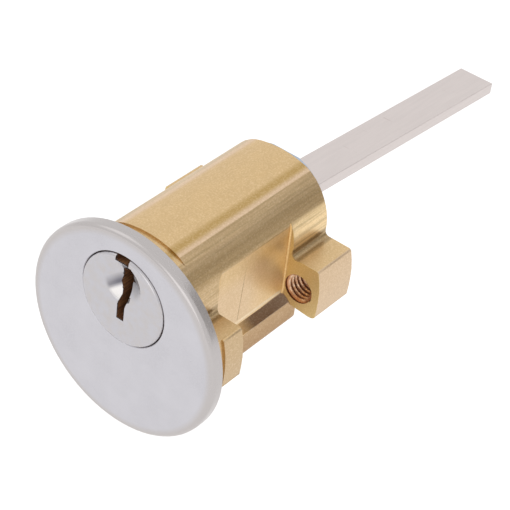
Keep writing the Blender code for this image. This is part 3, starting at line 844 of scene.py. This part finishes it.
class RIM_CYLINDER_OT_pins(bpy.types.Operator):
    """Finishes the pins in the chambers and their springs"""

    bl_idname = "rim_cylinder.pins"
    bl_label = "Pins and springs"

    def execute(self, context):
        pin = pin_material()
        wire = spring_material()
        zinc = bpy.data.materials["blue_zinc_plate"]
        for name in list(frame["nodes"]):
            if name.startswith("key_pin"):
                finish_node(name, pin)
            elif name.startswith("driver_pin"):
                finish_node(name, zinc)
            elif name.startswith("spring"):
                number = name[-1]
                coil = dressed_copy(name, f"coil_{number}", wire, STRIP_SMOOTH, body="housing")
                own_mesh(coil)
        return {"FINISHED"}


# Studio


class RIM_CYLINDER_OT_studio(bpy.types.Operator):
    """Adds the camera, the white surround, the pale floor, the grey card and the soft lights"""

    bl_idname = "rim_cylinder.studio"
    bl_label = "Studio"

    def execute(self, context):
        add_camera(context.scene)
        add_world(context.scene)
        add_floor()
        add_card()
        add_lights()
        return {"FINISHED"}


# Camera fitted to the photograph: where it stands, how it turns, its focal length, the pixel where it sees
# the frame's origin, its distance from there, and the pixel on its axis
CAMERA_AZIMUTH = radians(34.493)
CAMERA_ELEVATION = radians(38.176)
CAMERA_ROLL = radians(7.161)
CAMERA_FOCAL_PX = 1845.208
CAMERA_ORIGIN_PX = (130.314, 326.176)
CAMERA_DISTANCE = 260.263 * MM
CAMERA_CENTRE_PX = (253.842, 255.946)
PHOTO_PX = 510
SENSOR_WIDTH = 36.0


def add_camera(scene):
    """Places the fitted camera from its turn, its distance and the origin's pixel."""
    azimuth, elevation, roll = CAMERA_AZIMUTH, CAMERA_ELEVATION, CAMERA_ROLL
    back = Vector((sin(azimuth) * cos(elevation), -cos(azimuth) * cos(elevation), sin(elevation)))
    level = Vector((cos(azimuth), sin(azimuth), 0.0))
    upright = back.cross(level)
    right = cos(roll) * level + sin(roll) * upright
    up = -sin(roll) * level + cos(roll) * upright
    across = (CAMERA_ORIGIN_PX[0] - CAMERA_CENTRE_PX[0]) / CAMERA_FOCAL_PX * CAMERA_DISTANCE
    above = -(CAMERA_ORIGIN_PX[1] - CAMERA_CENTRE_PX[1]) / CAMERA_FOCAL_PX * CAMERA_DISTANCE
    eye = back * CAMERA_DISTANCE - right * across - up * above
    camera = bpy.data.cameras.new("camera")
    camera.sensor_width = SENSOR_WIDTH
    camera.lens = CAMERA_FOCAL_PX / PHOTO_PX * SENSOR_WIDTH
    camera.shift_x = (PHOTO_PX / 2 - CAMERA_CENTRE_PX[0]) / PHOTO_PX
    camera.shift_y = (CAMERA_CENTRE_PX[1] - PHOTO_PX / 2) / PHOTO_PX
    camera.clip_start = 0.01
    camera.clip_end = 20.0
    item = bpy.data.objects.new("camera", camera)
    scene.collection.objects.link(item)
    item.matrix_world = Matrix(
        (
            (right.x, up.x, back.x, eye.x),
            (right.y, up.y, back.y, eye.y),
            (right.z, up.z, back.z, eye.z),
            (0.0, 0.0, 0.0, 1.0),
        )
    )
    scene.camera = item


# Strengths of the surround and of the floor's own light: for most rays, and for those that show the
# background
WORLD_STRENGTHS = (0.85, 1.0)
FLOOR_STRENGTHS = (0.0, 0.3)


def ray_strength(tree, strengths):
    """One strength for the camera, glossy and transmission rays, and another for the rest."""
    rays = add_node(tree, "LightPath", {})
    seen = chain(
        tree,
        rays["Is Camera Ray"],
        ("MAXIMUM", rays["Is Glossy Ray"]),
        ("MAXIMUM", rays["Is Transmission Ray"]),
    )
    return joined(tree, {"seen": seen}, (("seen", 0.0, 1.0, *strengths),))


def add_world(scene):
    """A white surround, at a slightly lower level as a light."""
    world = bpy.data.worlds.new("studio_surround")
    scene.world = world
    world.use_nodes = True
    tree = world.node_tree
    tree.nodes.clear()
    inputs = {"Color": (1.0, 1.0, 1.0, 1.0), "Strength": ray_strength(tree, WORLD_STRENGTHS)}
    add_node(tree, "OutputWorld", {"Surface": add_node(tree, "Background", inputs)["Background"]})


def paper_material(name, colour):
    """Matt paper, as on a studio's floor and cards."""
    material = bpy.data.materials.new(name)
    material.use_nodes = True
    shader = material.node_tree.nodes["Principled BSDF"]
    shader.inputs["Base Color"].default_value = (*colour, 1.0)
    shader.inputs["Roughness"].default_value = 0.9
    return material, shader


FLOOR_WIDTH = 6.0
FLOOR_Z = -60.0 * MM


def add_floor():
    """A plain pale floor, far enough below the held-up cylinder for its shadow to be soft."""
    deselect_all()
    bpy.ops.mesh.primitive_plane_add(size=FLOOR_WIDTH, location=(0, 0, 0))
    floor = bpy.context.object
    floor.name = "studio_floor"
    floor.data.transform(Matrix.Translation((0, 0, FLOOR_Z)))
    material, shader = paper_material("pale_floor_paper", (0.9, 0.9, 0.9))
    tree = material.node_tree
    shader.inputs["Emission Color"].default_value = (1.0, 1.0, 1.0, 1.0)
    tree.links.new(ray_strength(tree, FLOOR_STRENGTHS), shader.inputs["Emission Strength"])
    floor.data.materials.append(material)


# The grey card: its direction from the plug's axis, its distance, its width and height, and its colour
CARD_DIRECTION = Vector((0.66, 0.75, 0.34))
CARD_DISTANCE = 0.45
CARD_SIZE = (0.32, 0.36)
CARD_COLOUR = (0.62, 0.6076, 0.5952)


def add_card():
    """A grey card behind and to the right, which only the metal sees: the darker band on the side wall."""
    deselect_all()
    bpy.ops.mesh.primitive_plane_add(size=1.0, location=(0, 0, 0))
    card = bpy.context.object
    card.name = "card_behind"
    middle = CARD_DIRECTION * CARD_DISTANCE + Vector((0.0, 0.0, PLUG_AXIS_Z * MM))
    facing = CARD_DIRECTION.to_track_quat("Z", "Y").to_matrix().to_4x4()
    card.data.transform(Matrix.Translation(middle) @ facing @ Matrix.Diagonal((*CARD_SIZE, 1.0, 1.0)))
    card.data.materials.append(paper_material("card_behind_paper", CARD_COLOUR)[0])
    card.visible_camera = False
    card.visible_shadow = False
    card.visible_diffuse = False


# Two large soft boxes, one above on the left and one in front: name, place, width in metres and power in
# watts
SOFT_BOXES = (
    ("soft_box_left", (-0.45, -0.25, 0.55), 0.5, 0.30),
    ("soft_box_front", (0.25, -0.6, 0.30), 0.5, 0.45),
)


def add_lights():
    for name, place, size, power in SOFT_BOXES:
        light = bpy.data.lights.new(name, "AREA")
        light.size = size
        light.energy = power
        item = bpy.data.objects.new(name, light)
        bpy.context.scene.collection.objects.link(item)
        item.location = place
        item.rotation_euler = Vector(place).to_track_quat("Z", "Y").to_euler()


class RIM_CYLINDER_PT_panel(bpy.types.Panel):
    """Lists the steps that finish the rim cylinder"""

    bl_label = "Rim cylinder"
    bl_idname = "RIM_CYLINDER_PT_panel"
    bl_space_type = "VIEW_3D"
    bl_region_type = "UI"
    bl_category = "Rim cylinder"

    def draw(self, context):
        for step in STEPS:
            self.layout.operator(step.bl_idname)
        for group in (context.scene.rim_cylinder_sizes, context.scene.rim_cylinder_colours):
            for name in group.bl_rna.properties.keys():
                if name not in ("rna_type", "name"):
                    self.layout.prop(group, name)


STEPS = (
    RIM_CYLINDER_OT_body,
    RIM_CYLINDER_OT_threads,
    RIM_CYLINDER_OT_face,
    RIM_CYLINDER_OT_plug,
    RIM_CYLINDER_OT_rear,
    RIM_CYLINDER_OT_pins,
    RIM_CYLINDER_OT_studio,
)
CLASSES = (RimCylinderSizes, RimCylinderColours, *STEPS, RIM_CYLINDER_PT_panel)


def register():
    for item in CLASSES:
        bpy.utils.register_class(item)
    bpy.types.Scene.rim_cylinder_sizes = bpy.props.PointerProperty(type=RimCylinderSizes)
    bpy.types.Scene.rim_cylinder_colours = bpy.props.PointerProperty(type=RimCylinderColours)


def unregister():
    del bpy.types.Scene.rim_cylinder_colours
    del bpy.types.Scene.rim_cylinder_sizes
    for item in reversed(CLASSES):
        bpy.utils.unregister_class(item)


def main():
    register()
    bpy.context.scene.view_settings.view_transform = "Standard"
    bpy.ops.rim_cylinder.body()
    bpy.ops.rim_cylinder.threads()
    bpy.ops.rim_cylinder.face()
    bpy.ops.rim_cylinder.plug()
    bpy.ops.rim_cylinder.rear()
    bpy.ops.rim_cylinder.pins()
    bpy.ops.rim_cylinder.studio()


if __name__ == "__main__":
    main()
